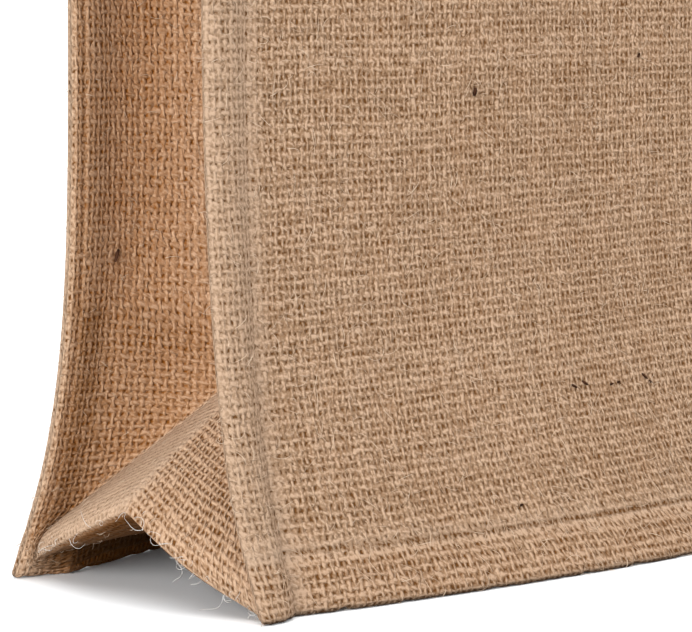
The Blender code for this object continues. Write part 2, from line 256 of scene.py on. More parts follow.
JUTE = {
    # gap, tan and pale yarn, and the colour of the fuzz; the dark gap colour is painted shade between
    # the yarns, and the redder inside set gives random variation and painted shade
    "outside": ((0.090, 0.038, 0.011), (0.205, 0.125, 0.073), (0.365, 0.250, 0.168)),
    "inside": ((0.130, 0.043, 0.006), (0.195, 0.095, 0.041), (0.300, 0.180, 0.106)),
    "fuzz": (0.315, 0.225, 0.157),
}
WEAVE_SEEDS = {"jute_front": 0.0, "jute_back": 100.0, "jute_gusset": 200.0, "jute_handles": 300.0}
WEAVE_DEPTH = 0.00045
STRAND_COLOURS = {
    # dark and pale streaks
    "jute_thread": ((0.30, 0.205, 0.135), (0.38, 0.27, 0.185)),
    "jute_fibre": ((0.34, 0.24, 0.165), (0.50, 0.39, 0.29)),
    "jute_white_fibre": ((0.50, 0.46, 0.42), (0.62, 0.60, 0.57)),
    "jute_bark": ((0.012, 0.005, 0.003), (0.050, 0.022, 0.012)),
}
FLOOR_COLOUR = (0.850, 0.860, 0.870)
LIGHTS = {
    # name: direction towards the light, strength, spread in degrees
    "overhead": ((-0.10, -0.10, 1.0), 3.0, 80.0),
    "left": ((-0.92, -0.30, 0.20), 4.8, 40.0),
    "front": ((0.45, -0.85, 0.40), 1.30, 50.0),
    "back": ((0.50, 0.85, 0.45), 1.7, 60.0),
}
SKY_STRENGTH = 0.45
CAMERA_TURN = radians(47.5)
CAMERA_PITCH = radians(6.54)
CAMERA_PLACE = (-0.69935, -0.55927, 0.15585)
CAMERA_LENS = 176.88


# -------------------- small helpers


def clamp(value):
    return max(0.0, min(1.0, value))


def mix(a, b, share):
    return a + (b - a) * share


def mix_points(a, b, share):
    return tuple(mix(p, q, share) for p, q in zip(a, b))


def ease(share):
    """0 below 0, 1 above 1, smooth between."""
    share = clamp(share)
    return share * share * (3.0 - 2.0 * share)


def fading(distance, run):
    """1 up to 0, 0 from the end of the run on."""
    return 1.0 - ease(distance / run)


def near(distance, reach):
    """1 at no distance, and soon 0 beyond the reach."""
    return exp(-(distance / reach) ** 2)


def add_object(name, data):
    thing = bpy.data.objects.new(name, data)
    bpy.context.scene.collection.objects.link(thing)
    return thing


# -------------------- the bag's shape

def middle_share(inset):
    """0 in the side fins, 1 in the middle of the panel."""
    return sin(pi / 2 * clamp((inset - SIDE_FIN) / (HALF_WIDTH - SIDE_FIN)))


def foot_seam(inset):
    return mix(FOOT_SEAM_SIDE, FOOT_SEAM_MID, middle_share(inset))


def body_half(inset, z):
    """Half depth of the bag's body, which flares towards its foot."""
    flare = exp(-z / FLARE_RISE)
    rise = z / BAG_HEIGHT
    seam = SEAM_WAIST + SEAM_FLARE * flare + SEAM_MOUTH * rise ** 2
    middle = MID_WAIST + MID_FLARE * flare + MID_MOUTH * rise ** 2
    return mix(seam, middle, middle_share(inset))


def panel_half(inset, z, face):
    """Distance of the panel's cloth from the middle plane."""
    cut = FACES[face]
    share = middle_share(inset)
    seam_z = foot_seam(inset)
    half = body_half(inset, max(z, seam_z))
    if z < seam_z:
        half += (seam_z - z) * mix(FOOT_SPLAY_SIDE, FOOT_SPLAY_MID, share)
    if inset < SIDE_FIN:
        rise = FIN_TOP + cut["fin_rise"] * exp(-(z / cut["fin_reach"]) ** 2)
        half += rise * (1.0 - exp(-(SIDE_FIN - inset) / FIN_TURN))
    half += cut["tip_kick"] * exp(-(inset + z) / TIP_REACH)
    half -= cut["tuck"] * exp(-(z / TUCK_HEIGHT) ** 2 - (inset / TUCK_WIDTH) ** 2)
    window = share * (1.0 - exp(-z / FLARE_RISE))
    for depth, across, up, start in PANEL_WAVES:
        wave = sin(across * tau * inset / BAG_WIDTH + start + cut["wave"])
        half += depth * window * wave * sin(up * pi * z / BAG_HEIGHT + start)
    return half


def lean(inset, z, face):
    """How much deeper than square the cloth is, measured along Y, because it slopes."""
    low = max(z - LEAN_STEP, 0.0)
    high = z + LEAN_STEP
    slope = (panel_half(inset, high, face) - panel_half(inset, low, face)) / (high - low)
    return hypot(1.0, slope)


def hem_share(z):
    return clamp((z - (BAG_HEIGHT - HEM_DEPTH - HEM_STEP)) / HEM_STEP)


def seam_point(inset, z, face):
    """A point on the inside of the panel, where the strip is sewn on."""
    share = hem_share(z)
    hem = (HEM_CLOTH - CLOTH) * share
    away = SEAM_GAP + mix(CLOTH, HEM_CLOTH, share) / 2
    half = panel_half(inset, z, face) - hem - away * lean(inset, z, face)
    return (inset, half, z)


def side_seam_height(s, face):
    short = SEAM_SHORT * (1.0 - exp(-s / SEAM_SHORT_REACH))
    return mix(FACES[face]["tip_height"], TIP_HEIGHT, clamp(s / SEAM_TURN)) + s - short


def side_root(s, face):
    turn = clamp((s - NOSE_STEP) / (SEAM_TURN - NOSE_STEP))
    return seam_point(mix(TIP_INSET, SIDE_FIN, turn), side_seam_height(s, face), face)


def foot_root(w, face):
    inset = TIP_INSET + w
    z = mix(FACES[face]["tip_height"], foot_seam(inset), ease(w / FOOT_TURN))
    return seam_point(inset, z, face)


def nose_point(corner):
    return (-NOSE_OUT, 0.0, NOSE_HEIGHT + CORNERS[corner][0])


def pleat_point(corner):
    return (PLEAT_INSET + CORNERS[corner][1], 0.0, PLEAT_HEIGHT)


def web_on_side(s, q, corner, face):
    """The pleated side above the folded corner: s up from the corner's fold, q from pleat to seam."""
    root = side_root(s, face)
    low = exp(-(s - PLEAT_RISE) / SIDE_REACH)
    depth = WEB_SLACK * sqrt(WEB_HALF ** 2 - root[1] ** 2)
    crease_inset = mix(SIDE_FIN + depth, pleat_point(corner)[0], low)
    crease = (crease_inset, 0.0, root[2] - CREASE_DROP * low)
    x, y, z = mix_points(crease, root, q)
    bow = SIDE_BOW * 27 / 4 * q * q * (1.0 - q)
    run = crease[0] - root[0]
    length = hypot(run, root[1])
    x += bow * root[1] / length
    y += bow * run / length
    y += (root[1] - y) * exp(-(1.0 - q) * length / ROOT_REACH)
    return (x, y, z)


def web_in_corner(s, q, corner, face):
    """The folded corner: its flap from the ridge to the crease, and the web above the crease."""
    pleat = pleat_point(corner)
    ridge = mix_points(nose_point(corner), pleat, s / PLEAT_RISE)
    root = side_root(s, face)
    share = clamp((s - SEAM_TURN) / (PLEAT_RISE - SEAM_TURN))
    fold_x, fold_y, fold_z = root
    if s > SEAM_TURN:
        fold_x, fold_y, fold_z = mix_points(side_root(SEAM_TURN, face), pleat, share)
    arch = sin(pi * share)
    crease = (fold_x, fold_y - PLEAT_BOW * arch, fold_z + PLEAT_LIFT * arch)
    crease_q = 1.0 - share
    if q <= crease_q:
        along = q / crease_q if crease_q else 0.0
        x, y, z = mix_points(ridge, crease, along)
        bulge = FLAP_BULGE * sin(pi * along) * (1.0 - s / PLEAT_RISE)
        gap = NOSE_GAP * (1.0 - exp(-s / NOSE_GAP_REACH)) * (1.0 - q)
        return (x - bulge, y, z + gap)
    along = (q - crease_q) / (1.0 - crease_q)
    x, y, z = mix_points(crease, root, along)
    puff = share * sin(pi * along)
    return (x + PUFF_INWARD * puff, y + PUFF_ACROSS * puff, z)


def web_on_floor(w, q, corner, face):
    """The part under the bag: w inwards from the corner's fold."""
    nose = nose_point(corner)
    root = foot_root(w, face)
    back = (TIP_INSET - nose[0]) * exp(-w / NOSE_FALL)
    height = mix(FLOOR_HEIGHT, nose[2], exp(-w / FLOOR_FALL))
    x, y, z = mix_points((TIP_INSET + w - back, 0.0, height), root, q)
    arch = sin(pi * q)
    bulge = FLAP_BULGE * arch * exp(-w / BULGE_FALL)
    gap = NOSE_GAP * (1.0 - exp(-w / NOSE_GAP_REACH)) * (1.0 - q)
    sag = FLOOR_SAG * arch * (1.0 - exp(-w / SAG_REACH))
    drop = FACES[face]["flap_drop"] * arch * exp(-w / BULGE_FALL)
    return (x - bulge, y, z - gap - sag - drop)


def web_point(s, q, corner, face):
    if s >= PLEAT_RISE:
        return web_on_side(s, q, corner, face)
    if s >= 0.0:
        return web_in_corner(s, q, corner, face)
    return web_on_floor(-s, q, corner, face)


# -------------------- meshes

def mesh_piece(name, places, faces, yarns, tones, seams=None):
    """A smooth mesh object, with each vertex's yarn counts, tones and distances from the seams."""
    mesh = bpy.data.meshes.new(name)
    mesh.from_pydata([tuple(place) for place in places], [], faces)
    corners = np.empty(len(mesh.loops), dtype=np.int32)
    mesh.loops.foreach_get("vertex_index", corners)
    far = [(NO_SEAM, NO_SEAM)] * len(places)
    for layer_name, values in (("weave", yarns), ("seam", seams or far)):
        layer = mesh.uv_layers.new(name=layer_name)
        layer.data.foreach_set("uv", np.asarray(values, dtype=np.float32)[corners].ravel())
    attribute = mesh.color_attributes.new(name="tone", type="FLOAT_COLOR", domain="POINT")
    attribute.data.foreach_set("color", np.asarray(tones, dtype=np.float32).ravel())
    mesh.shade_smooth()
    return add_object(name, mesh)


def grid_faces(rows, columns, corners=SQUARE):
    """Squares between a grid's points, which are numbered row by row."""
    return [tuple((row + down) * columns + column + right for down, right in corners)
            for row in range(rows - 1) for column in range(columns - 1)]


def thicken(piece, thickness, offset):
    """Give an open grid the cloth's thickness."""
    solidify = piece.modifiers.new("cloth", "SOLIDIFY")
    solidify.thickness = thickness
    solidify.offset = offset
    solidify.use_even_offset = False


def spaced(start, end, step):
    """Even places from start to end, about a step apart, without the end."""
    count = max(1, round((end - start) / step))
    return [mix(start, end, k / count) for k in range(count)]


def rim_steps():
    """Distances from a rounded edge at which its curve is sampled."""
    return [FIN_ROUND * (1.0 - cos(pi / 2 * k / RIM_POINTS)) for k in range(RIM_POINTS)]


def fin_share(inset, z):
    """1 in the doubled fins along the sides and the foot, 0 in the body of the panel."""
    side = fading(inset - SIDE_FIN + FIN_FADE, FIN_FADE)
    foot = fading(z - foot_seam(inset) + FIN_FADE, FIN_FADE)
    return max(side, foot)


def surface_relief(inset, z):
    """How far the outer face stands out (+) or is drawn in (-) by its seams."""
    seam_z = foot_seam(inset)
    relief = -SEAM_GROOVE * near(inset - SIDE_FIN, GROOVE_REACH)
    relief -= FOOT_GROOVE * near(z - seam_z, GROOVE_REACH)
    if inset < SIDE_FIN:
        relief += FIN_PUFF * sin(pi * inset / SIDE_FIN)
    if z < seam_z:
        relief += FOOT_PUFF * sin(pi * z / seam_z)
    return relief


def foot_unevenness(x, face):
    """Slight scallops of the foot's edge, which never reach below the floor."""
    start = FACES[face]["wave"]
    wave = sum(sin(pace * x + (k + 1) * start) for k, pace in enumerate(SCALLOP_WAVES))
    return SCALLOP * (wave / len(SCALLOP_WAVES)) ** 2


def outer_half(inset, z, face):
    """Distance of the panel's outer face from the middle plane."""
    return panel_half(inset, z, face) + CLOTH * lean(inset, z, face) + surface_relief(inset, z)


def panel_lines():
    """A panel's rows (heights) and columns (inset and side), closer at its rim and its seams."""
    insets = rim_steps() + spaced(FIN_ROUND, SIDE_FIN + FINE_BAND, SIDE_STEP)
    insets += spaced(SIDE_FIN + FINE_BAND, HALF_WIDTH, BODY_STEP) + [HALF_WIDTH]
    heights = rim_steps() + spaced(FIN_ROUND, FOOT_SEAM_SIDE + FINE_BAND, SIDE_STEP)
    heights += spaced(FOOT_SEAM_SIDE + FINE_BAND, BAG_HEIGHT - FIN_ROUND, BODY_STEP)
    heights += [BAG_HEIGHT - step for step in reversed(rim_steps() + [FIN_ROUND])]
    columns = [(inset, -1.0) for inset in insets]
    columns += [(inset, 1.0) for inset in reversed(insets[:-1])]
    return heights, columns


def panel_vertex(layer, flat_inset, side, flat_z, face):
    """Place, yarn counts, tone and seam distances (mm) of a point of a panel's rounded sheet."""
    off_side = clamp(1.0 - flat_inset / FIN_ROUND)
    off_end = clamp(1.0 - min(flat_z, BAG_HEIGHT - flat_z) / FIN_ROUND)
    disc_side = off_side * sqrt(1.0 - off_end ** 2 / 2)
    disc_end = off_end * sqrt(1.0 - off_side ** 2 / 2)
    inset = flat_inset + FIN_ROUND * (off_side - disc_side)
    across = side * (HALF_WIDTH - inset)
    inwards = 1.0 if flat_z < BAG_HEIGHT / 2 else -1.0
    z = flat_z + inwards * FIN_ROUND * (off_end - disc_end)
    z += foot_unevenness(across, face) * exp(-flat_z / SCALLOP_FADE)

    half = panel_half(inset, z, face)
    out = outer_half(inset, z, face)
    back = half - FIN_BACK * fin_share(inset, z)
    back = min(back, half - (HEM_CLOTH - CLOTH) * hem_share(z))
    middle = (out + back) / 2
    deep = (out - back) / 2 * sqrt(max(0.0, 1.0 - disc_side ** 2 - disc_end ** 2))
    y = middle + deep if layer == "outer" else middle - deep

    u = across + FIN_ROUND * asin(disc_side) * side * RIM_CLOTH
    v = z - inwards * FIN_ROUND * asin(disc_end) * RIM_CLOTH
    from_side = 1000 * (inset - SIDE_FIN)
    from_foot = 1000 * (z - foot_seam(inset))
    if layer == "inner":
        u += INNER_SHIFT[0]
        v += INNER_SHIFT[1]
        from_foot = NO_SEAM
    return ((across, FACES[face]["side"] * y, z), (u / COLUMN_PITCH, v / ROW_PITCH),
            panel_tone(inset, z, layer), (from_side, from_foot))


def make_panel(name, face):
    """A closed sheet: the outer and the inner face, joined round a rounded edge."""
    heights, columns = panel_lines()
    rows, wide = len(heights), len(columns)
    vertices, faces, number = [], [], {}
    for layer in ("outer", "inner"):
        for row, flat_z in enumerate(heights):
            for column, (flat_inset, side) in enumerate(columns):
                on_rim = row in (0, rows - 1) or column in (0, wide - 1)
                if layer == "inner" and on_rim:
                    number[layer, row, column] = number["outer", row, column]
                    continue
                number[layer, row, column] = len(vertices)
                vertices.append(panel_vertex(layer, flat_inset, side, flat_z, face))
        turned = (FACES[face]["side"] > 0) == (layer == "outer")
        corners = SQUARE[::-1] if turned else SQUARE
        for row in range(rows - 1):
            for column in range(wide - 1):
                faces.append([number[layer, row + down, column + right] for down, right in corners])
    places, yarns, tones, seams = zip(*vertices)
    outer = np.array(places[:rows * wide]).reshape(rows, wide, 3)
    return mesh_piece(name, places, faces, yarns, tones, seams), outer


def face_place(side, inset, z, face):
    """A point of the outer face, and the way it faces."""
    facing = FACES[face]["side"]
    half = outer_half(inset, z, face)
    slope = (outer_half(inset, z + 2 * LEAN_STEP, face) - half) / (2 * LEAN_STEP)
    length = hypot(1.0, slope)
    return ((side * (HALF_WIDTH - inset), facing * half, z),
            (0.0, facing / length, -slope / length))


def seam_runs(face):
    """Needle holes up both sides, along the foot and along the hem."""
    runs = []
    for side in (-1.0, 1.0):
        heights = [STITCH * k for k in range(FIRST_STITCH, round(BAG_HEIGHT / STITCH))]
        runs.append([face_place(side, SIDE_FIN, z, face) for z in heights])
    reach = int((HALF_WIDTH - SIDE_FIN) / STITCH)
    for height in (None, BAG_HEIGHT - HEM_DEPTH + HEM_SEAM_DROP):
        holes = []
        for k in range(-reach, reach + 1):
            inset = HALF_WIDTH - abs(STITCH * k)
            z = foot_seam(inset) if height is None else height
            holes.append(face_place(copysign(1.0, k), inset, z, face))
        runs.append(holes)
    return runs


def panel_tone(inset, z, layer):
    """Fuzz, warmth, openness and brightness of the panel's cloth."""
    if layer == "inner":
        # The inner face carries painted shade: warm and red all over, darker and deeper red low in the
        # corner's cavity, pale and fuzzy at its rim and at the corner's tip.
        rim = exp(-inset / 0.0010)
        tip = exp(-(z / 0.008) ** 2 - (inset / 0.008) ** 2)
        low = near(z, 0.016) * (1.0 - near(inset, 0.014))
        inside = mix_points(INSIDE_PAINTED_SHADE_TONE, CAVITY_PAINTED_SHADE_TONE, low)
        return mix_points(inside, INSIDE_RIM_TONE, max(rim, tip))
    seam_z = foot_seam(inset)
    foot = fading(z - seam_z + 0.001, 0.002)
    side = fading(inset - SIDE_FIN + 0.004, 0.004)
    fin = fading(inset - SIDE_FIN + 0.001, 0.002)
    # Fuzz gathers on the edge and beside the seams.
    fuzz = 0.35 * exp(-inset / 0.0022)
    fuzz += 0.55 * near(inset - SIDE_FIN - 0.0005, 0.003)
    fuzz += 0.5 * near(z - seam_z - 0.0018, 0.0018)
    fuzz = clamp(clamp(fuzz) + 0.3 * side * (1.0 - foot))
    # The cloth is darker low down and on the fins; a painted highlight makes it paler beside the side
    # seam, and a painted contact shadow darkens its lower edge.
    shade = 1.02 - 0.07 * exp(-z / 0.05) - 0.06 * fin - 0.10 * fin * z / BAG_HEIGHT
    shade += 0.10 * near(inset - SIDE_FIN + 0.0008, 0.0018)
    shade *= 1.0 - 0.9 * near(z, 0.0012)
    return (fuzz, 0.15 * foot, clamp(0.5 * foot + 0.3 * side), shade)


def corner_tone(s, q, face):
    """The folded corner: the flap below the crease, and the web above it."""
    rear = 1.0 if face == "back" else 0.0
    crease_q = 1.0 - clamp((s - SEAM_TURN) / (PLEAT_RISE - SEAM_TURN))
    above = ease((q - crease_q) / 0.05 + 0.5)
    below = 1.0 - above
    # Painted light makes the strip brighter than the panels' cloth, more so up the flap; painted shade
    # darkens the web towards and at the back seam, and the web above the crease gets the warm colour of
    # painted shade.
    edge = ease((q - 0.9) / 0.2) * rear
    fuzz = clamp(0.15 + 0.6 * exp(-q / 0.035) + 0.7 * below * rear) * (1.0 - edge)
    warmth = mix(0.35 - 0.3 * below * rear, 0.95, above)
    openness = 0.8 * below * (1.0 - below * rear)
    flap_shade = mix(1.08, 1.34, clamp(s / PLEAT_RISE))
    shade = mix(flap_shade, 1.38 - 0.2 * q * rear, above) * (1.0 - 0.15 * edge)
    return (fuzz, warmth, openness, shade)


def strip_tone(s, q, face):
    """Fuzz, warmth, openness and brightness of the strip's cloth."""
    if s >= PLEAT_RISE:
        # The web is brighter than the panels' cloth as painted light, and warmer towards its seams and
        # darker at the back seam as painted shade.
        web = mix_points(WEB_PAINTED_LIGHT_TONE, WEB_SEAM_PAINTED_SHADE_TONE, ease((q - 0.25) / 0.6))
        return mix_points(web, WEB_REAR_PAINTED_SHADE_TONE, ease((q - 0.9) / 0.2) if face == "back" else 0.0)
    if s >= 0.0:
        return corner_tone(s, q, face)
    # Under the bag the strip is painted shade: dark and deep red, lifting only right at the corner's
    # fold.
    return (0.1, 2.0, 0.0, mix(0.40, 1.1, exp(s / 0.0012)))


def strip_side_length():
    """From the strip's end at the mouth down to the fold of its corner."""
    return BAG_HEIGHT - TIP_HEIGHT + SEAM_SHORT - MOUTH_GAP


def strip_stations():
    """Corner, distance from its fold and place along the strip, from mouth to mouth."""
    top = strip_side_length()
    middle = HALF_WIDTH - TIP_INSET
    distances = spaced(top, 0.0, -STRIP_STEP) + spaced(0.0, -middle, -STRIP_STEP) + [-middle]
    left = [("left", s, top - s) for s in distances]
    right = [("right", s, top + 2 * middle + s) for s in reversed(distances[:-1])]
    return left + right


def web_columns():
    """Shares across the web, from the front seam (-1) to the back seam (1)."""
    count = round(WEB_HALF / STRIP_STEP)
    return [k / count for k in range(-count, count + 1)]


def soften(grid, rounds):
    """Average each inner point with its neighbours, so that sharp folds get a radius."""
    for _ in range(rounds):
        around = (grid[:-2, 1:-1] + grid[2:, 1:-1] + grid[1:-1, :-2] + grid[1:-1, 2:]) / 4
        grid[1:-1, 1:-1] = grid[1:-1, 1:-1] * 0.5 + around * 0.5
    return grid


def outwards(corner):
    return -1.0 if corner == "left" else 1.0


def flange_point(root, reach, s, corner, face):
    """A point of the strip's edge, which turns from sideways to downwards below the corner."""
    downwards = ease(0.5 - s / FLANGE_TURN)
    to_side = HALF_WIDTH - abs(root[0])
    side_room = min(1.0, FLANGE_ROOM * to_side / FLANGE[-1])
    foot_room = min(1.0, FLANGE_ROOM * root[2] / FLANGE[-1])
    x = root[0] + outwards(corner) * reach * (1.0 - downwards) * side_room
    z = root[2] - reach * downwards * foot_room
    sink = FLANGE_END_SINK if reach == FLANGE[-1] else FLANGE_SINK
    half = panel_half(HALF_WIDTH - abs(x), z, face) - FIN_BACK + sink
    return (x, FACES[face]["side"] * half, z)


def flange_lines(roots, stations, face):
    """Lines of the strip's edge that lies flat on the inside of one panel's fins."""
    lines = []
    for reach in FLANGE:
        lines.append(np.array([flange_point(root, reach, s, corner, face)
                               for (corner, s, _), root in zip(stations, roots)]))
    return lines


def web_grid(stations, shares):
    """The strip between its seams, its sharp folds softened."""
    grid = np.zeros((len(stations), len(shares), 3))
    for row, (corner, s, _) in enumerate(stations):
        for column, q in enumerate(shares):
            face = "front" if q < 0 else "back"
            inset, half, z = web_point(s, abs(q), corner, face)
            x = outwards(corner) * (HALF_WIDTH - inset)
            grid[row, column] = (x, FACES[face]["side"] * half, z)
    return soften(grid, WEB_SOFTENING)


def make_strip(name):
    """The gusset strip as one thin sheet with soft folds, its edges inside the fins."""
    stations = strip_stations()
    shares = web_columns()
    web = web_grid(stations, shares)
    lines = flange_lines(web[:, 0], stations, "front")[::-1]
    lines += [web[:, column] for column in range(len(shares))]
    lines += flange_lines(web[:, -1], stations, "back")
    full = np.stack(lines, axis=1)
    across = [-WEB_HALF - reach for reach in reversed(FLANGE)]
    across += [q * WEB_HALF for q in shares]
    across += [WEB_HALF + reach for reach in FLANGE]
    yarns, tones = [], []
    for row, (_, s, along) in enumerate(stations):
        for from_middle, (x, _, z) in zip(across, full[row]):
            yarns.append((from_middle / COLUMN_PITCH + 0.3, along / ROW_PITCH))
            face = "front" if from_middle < 0 else "back"
            tone = strip_tone(s, abs(from_middle) / WEB_HALF, face)
            tip = exp(-(z / 0.009) ** 2 - ((HALF_WIDTH - abs(x)) / 0.009) ** 2)
            tones.append(mix_points(tone, STRIP_TIP_TONE, tip))
    # On this grid the squares run the other way round.
    faces = grid_faces(*full.shape[:2], SQUARE[:1] + SQUARE[:0:-1])
    piece = mesh_piece(name, full.reshape(-1, 3), faces, yarns, tones)
    thicken(piece, STRIP_CLOTH, 0.0)
    return piece, full


# -------------------- handles

def handle_runs():
    """Length of each straight end, and height and length of the arch between them."""
    straight = BAG_HEIGHT - HANDLE_FOOT + HANDLE_STRAIGHT
    rise = HANDLE_TOP - HANDLE_RADIUS - HANDLE_FOOT - straight
    return straight, rise, pi / 2 * (HANDLE_SPREAD + rise)


def handle_path(along):
    """A point of the handle's middle line in x and z, and its direction."""
    straight, rise, arch = handle_runs()
    if along < straight:
        return (-HANDLE_SPREAD, HANDLE_FOOT + along), (0.0, 1.0)
    if along > straight + arch:
        return (HANDLE_SPREAD, HANDLE_FOOT + 2 * straight + arch - along), (0.0, -1.0)
    angle = pi * (along - straight) / arch
    x = -HANDLE_SPREAD * cos(angle)
    z = HANDLE_FOOT + straight + rise * sin(angle)
    across = HANDLE_SPREAD * sin(angle)
    up = rise * cos(angle)
    length = hypot(across, up)
    return (x, z), (across / length, up / length)


def handle_length():
    straight, _, arch = handle_runs()
    return 2 * straight + arch


def bare_face(inset, z, face):
    """Distance from the middle plane of the panel's face, without its seams' relief."""
    return panel_half(inset, z, face) + CLOTH * lean(inset, z, face)


def signed_power(value, power):
    return copysign(abs(value) ** power, value)


def handle_ring(along, face):
    """The strap's cross section, from its join on the inner side round to the join again."""
    facing = FACES[face]["side"]
    (x, z), (along_x, along_z) = handle_path(along)
    roundness = ease((z - BAG_HEIGHT - ROUND_START) / ROUND_RUN)
    end = min(along, handle_length() - along)
    shut = sqrt(1.0 - (1.0 - clamp(end / HANDLE_END)) ** 2)
    wide = mix(HANDLE_WIDTH, HANDLE_RADIUS, roundness) * mix(HANDLE_END_NARROW, 1.0, shut)
    deep = mix(HANDLE_FLAT, HANDLE_RADIUS, roundness)
    bend = ease((z - BAG_HEIGHT - LEAN_START) / (HANDLE_TOP - BAG_HEIGHT))
    power = mix(HANDLE_SQUARE, 1.0, roundness)
    ring = []
    for side in range(HANDLE_SIDES + 1):
        angle = tau * (side + 0.15) / (HANDLE_SIDES + 0.3)
        from_join = min(angle, tau - angle)
        fold = 1.0 - JOIN_DEPTH / wide * exp(-(from_join / JOIN_REACH) ** 2)
        lump = 1.0 + 0.02 * sin(3 * angle + 90 * along) + 0.015 * sin(170 * along + angle)
        out = wide * fold * lump * signed_power(cos(angle), power)
        point_x = x + out * along_z
        point_z = z - out * along_x
        outer_face = bare_face(HALF_WIDTH - abs(point_x), min(point_z, BAG_HEIGHT), face)
        middle = outer_face + SEAM_GAP + deep - HANDLE_LEAN * bend
        high = deep * lump * signed_power(sin(angle), power) * shut
        ring.append((point_x, facing * (middle + high), point_z))
    return ring


def make_handle(name, face):
    """One strap of the same cloth, wrapped into a tube: flat where it is sewn, round above."""
    length = handle_length()
    end_shares = (0.0, 0.1, 0.3, 0.6, 1.0)
    stations = [HANDLE_END * share for share in end_shares[:-1]]
    stations += spaced(HANDLE_END, length - HANDLE_END, HANDLE_STEP)
    stations += [length - HANDLE_END * share for share in reversed(end_shares)]
    grid = np.array([handle_ring(along, face) for along in stations])
    yarns, tones = [], []
    top = (HANDLE_SIDES + 1) // 2
    for along, ring in zip(stations, grid):
        steps = np.linalg.norm(np.diff(ring, axis=0), axis=1)
        around = np.concatenate([[0.0], np.cumsum(steps)])
        around -= around[top]
        for reach in around:
            yarns.append((reach / COLUMN_PITCH, along / ROW_PITCH))
            from_join = abs(around[-1]) - abs(reach)
            tones.append((0.25 + 0.4 * exp(-from_join / 0.002), 0.1, 0.0, 1.0))
    faces = grid_faces(*grid.shape[:2], SQUARE if face == "front" else SQUARE[::-1])
    piece = mesh_piece(name, grid.reshape(-1, 3), faces, yarns, tones)
    thicken(piece, HANDLE_CLOTH, -1.0)
    return piece


# -------------------- threads and fibres

def strand_mesh(name, paths, radius, taper=0.35):
    """Thin three-sided strands along paths, an array of strands by points by x, y, z."""
    paths = np.asarray(paths, dtype=float)
    count, points = paths.shape[:2]
    heading = np.gradient(paths, axis=1)
    heading /= np.linalg.norm(heading, axis=2, keepdims=True) + 1e-12
    helper = np.where(np.abs(heading[..., 2:3]) < 0.8, (0.0, 0.0, 1.0), (1.0, 0.0, 0.0))
    side = np.cross(heading, helper)
    side /= np.linalg.norm(side, axis=2, keepdims=True) + 1e-12
    other = np.cross(heading, side)
    share = np.linspace(-1.0, 1.0, points)
    thick = 1.0 - (1.0 - taper) * share ** 4
    radius = np.broadcast_to(radius, (count,))[:, None, None] * thick[None, :, None]
    rings = []
    for turn in range(3):
        angle = tau * turn / 3
        rings.append(paths + radius * (cos(angle) * side + sin(angle) * other))
    places = np.stack(rings, axis=2).reshape(-1, 3)
    first = (np.arange(count)[:, None] * points + np.arange(points - 1)[None, :]) * 3
    faces = []
    for turn in range(3):
        following = (turn + 1) % 3
        faces.append(np.stack([first + turn, first + following,
                               first + following + 3, first + turn + 3], axis=-1).reshape(-1, 4))
    faces = np.concatenate(faces).tolist()
    mesh = bpy.data.meshes.new(name)
    mesh.from_pydata(places.tolist(), [], faces)
    mesh.shade_smooth()
    return add_object(name, mesh)


class Cloth:
    """A cloth's grid of points, read at distances along its rows and columns."""

    def __init__(self, grid, outward):
        self.grid = grid
        across = np.linalg.norm(np.diff(grid, axis=1), axis=2).mean(axis=0)
        along = np.linalg.norm(np.diff(grid, axis=0), axis=2).mean(axis=1)
        self.across = np.concatenate([[0.0], np.cumsum(across)])
        self.along = np.concatenate([[0.0], np.cumsum(along)])
        self.normals = np.cross(np.gradient(grid, axis=1), np.gradient(grid, axis=0))
        self.normals *= outward / (np.linalg.norm(self.normals, axis=2, keepdims=True) + 1e-12)

    def read(self, table, a, b):
        """Values of a table at distances a across and b along, blended between points."""
        column = np.interp(a, self.across, np.arange(len(self.across)))
        row = np.interp(b, self.along, np.arange(len(self.along)))
        left = np.minimum(column.astype(int), len(self.across) - 2)
        low = np.minimum(row.astype(int), len(self.along) - 2)
        x = (column - left)[..., None]
        y = (row - low)[..., None]
        bottom = table[low, left] * (1 - x) + table[low, left + 1] * x
        upper = table[low + 1, left] * (1 - x) + table[low + 1, left + 1] * x
        return bottom * (1 - y) + upper * y

    def place(self, a, b, lift):
        return self.read(self.grid, a, b) + self.read(self.normals, a, b) * lift[..., None]


def lying_fibres(cloth, count, luck, points=6):
    """Paths of short fibres that lie on the cloth in slight arcs."""
    start_a = luck.uniform(0.001, cloth.across[-1] - 0.001, count)[:, None]
    start_b = luck.uniform(0.001, cloth.along[-1] - 0.001, count)[:, None]
    length = luck.uniform(0.0020, 0.0080, count)[:, None]
    heading = luck.uniform(0.0, tau, count)[:, None]
    bend = luck.normal(0.0, 1.3, count)[:, None]
    rise = luck.uniform(0.0002, 0.0009, count)[:, None]
    share = np.linspace(0.0, 1.0, points)[None, :]
    turned = heading + bend * share
    a = start_a + length * np.cumsum(np.cos(turned), axis=1) / points
    b = start_b + length * np.cumsum(np.sin(turned), axis=1) / points
    lift = rise * np.sin(pi * share) + 0.0001
    path = cloth.place(a, b, lift)
    path[..., 2] = np.maximum(path[..., 2], FLOOR_CLEAR)
    return path


